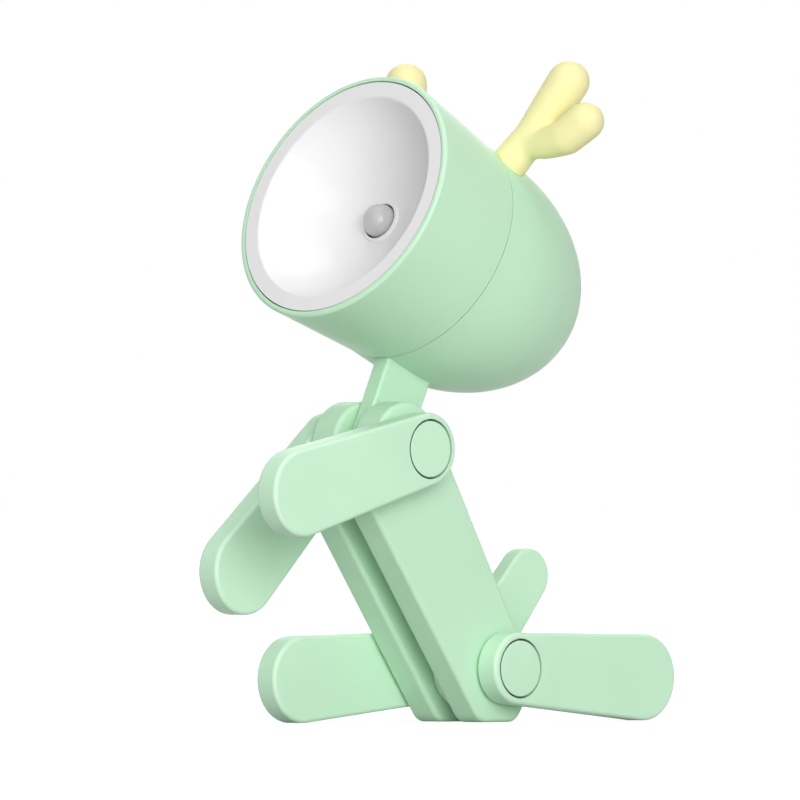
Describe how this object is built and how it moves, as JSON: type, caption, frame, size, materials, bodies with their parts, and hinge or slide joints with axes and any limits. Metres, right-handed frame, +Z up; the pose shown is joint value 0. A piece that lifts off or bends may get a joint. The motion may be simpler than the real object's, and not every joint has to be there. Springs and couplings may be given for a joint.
{
  "type": "folding animal night light",
  "caption": "Small battery night light shaped like a sitting deer: bullet-shaped lamp head with a press-on bulb, antlers, and legs, tail and head that turn on friction pivots.",
  "frame": {"origin": "on the floor under the middle of the outline, where the feet and the rear leg tips stand", "axes": "+Z up, the lamp's nose along -X, +Y to the animal's right"},
  "size_m": [0.0854, 0.0516, 0.0986],
  "materials": {
    "mint": "satin moulded",
    "axle_metal": "plain",
    "screw_metal": "zinc plated",
    "antler": "satin moulded",
    "white": "smooth white",
    "led": "clear",
    "board": "solder mask",
    "black": "moulded",
    "tray": "moulded",
    "contact": "nickel plated",
    "cells": "plated can",
    "frosted": "frosted"
  },
  "bodies": {
    "body": {"left_body_bar": "mint", "right_body_bar": "mint", "upper_axle": "axle_metal", "lower_axle": "axle_metal", "pivot_caps": "mint"},
    "head": {"rear_dome": "mint", "neck": "mint", "neck_screw": "screw_metal", "left_antler": "antler", "right_antler": "antler"},
    "lamp": {"front_shade": "mint", "reflector": "white", "led": "led", "circuit_board": "board", "switch_body": "black", "battery_tray": "tray", "contact_plate": "contact", "button_cells": "cells", "contact_spring": "contact", "unit_screws": "screw_metal"},
    "bulb": {"bulb_lens": "frosted", "switch_plunger": "black"},
    "front_leg_left": {"left_front_leg": "mint"},
    "front_leg_right": {"right_front_leg": "mint"},
    "rear_leg_left": {"left_rear_leg": "mint"},
    "rear_leg_right": {"right_rear_leg": "mint"},
    "tail_bar": {"tail": "mint"}
  },
  "joints": [
    {"name": "head_tilt", "type": "hinge", "parent": "body", "child": "head", "pos_m": [-0.00995, 0, 0.04086], "axis": [0, 1, 0], "range_deg": [-35, 25]},
    {"name": "shade_twist", "type": "hinge", "parent": "head", "child": "lamp", "pos_m": [-0.0172, 0, 0.07854], "axis": [0.9048, 0, -0.4258], "range_deg": [0, 20]},
    {"name": "bulb_press", "type": "slide", "parent": "lamp", "child": "bulb", "axis": [0.9048, 0, -0.4258], "range_m": [0, 0.0008], "stiffness_N_per_m": 1500, "springref_m": -0.0006},
    {"name": "left_front_leg_turn", "type": "hinge", "parent": "body", "child": "front_leg_left", "pos_m": [-0.00995, 0, 0.04086], "axis": [0, 1, 0], "range_deg": [-38, 18]},
    {"name": "right_front_leg_turn", "type": "hinge", "parent": "body", "child": "front_leg_right", "pos_m": [-0.00995, 0, 0.04086], "axis": [0, 1, 0], "range_deg": [-10, 46]},
    {"name": "left_rear_leg_turn", "type": "hinge", "parent": "body", "child": "rear_leg_left", "pos_m": [0.00922, 0, 0.00805], "axis": [0, 1, 0], "range_deg": [-45, 175]},
    {"name": "right_rear_leg_turn", "type": "hinge", "parent": "body", "child": "rear_leg_right", "pos_m": [0.00922, 0, 0.00805], "axis": [0, 1, 0], "range_deg": [-215, 4]},
    {"name": "tail_turn", "type": "hinge", "parent": "body", "child": "tail_bar", "pos_m": [0.00922, 0, 0.00805], "axis": [0, 1, 0], "range_deg": [-70, 45]}
  ]
}
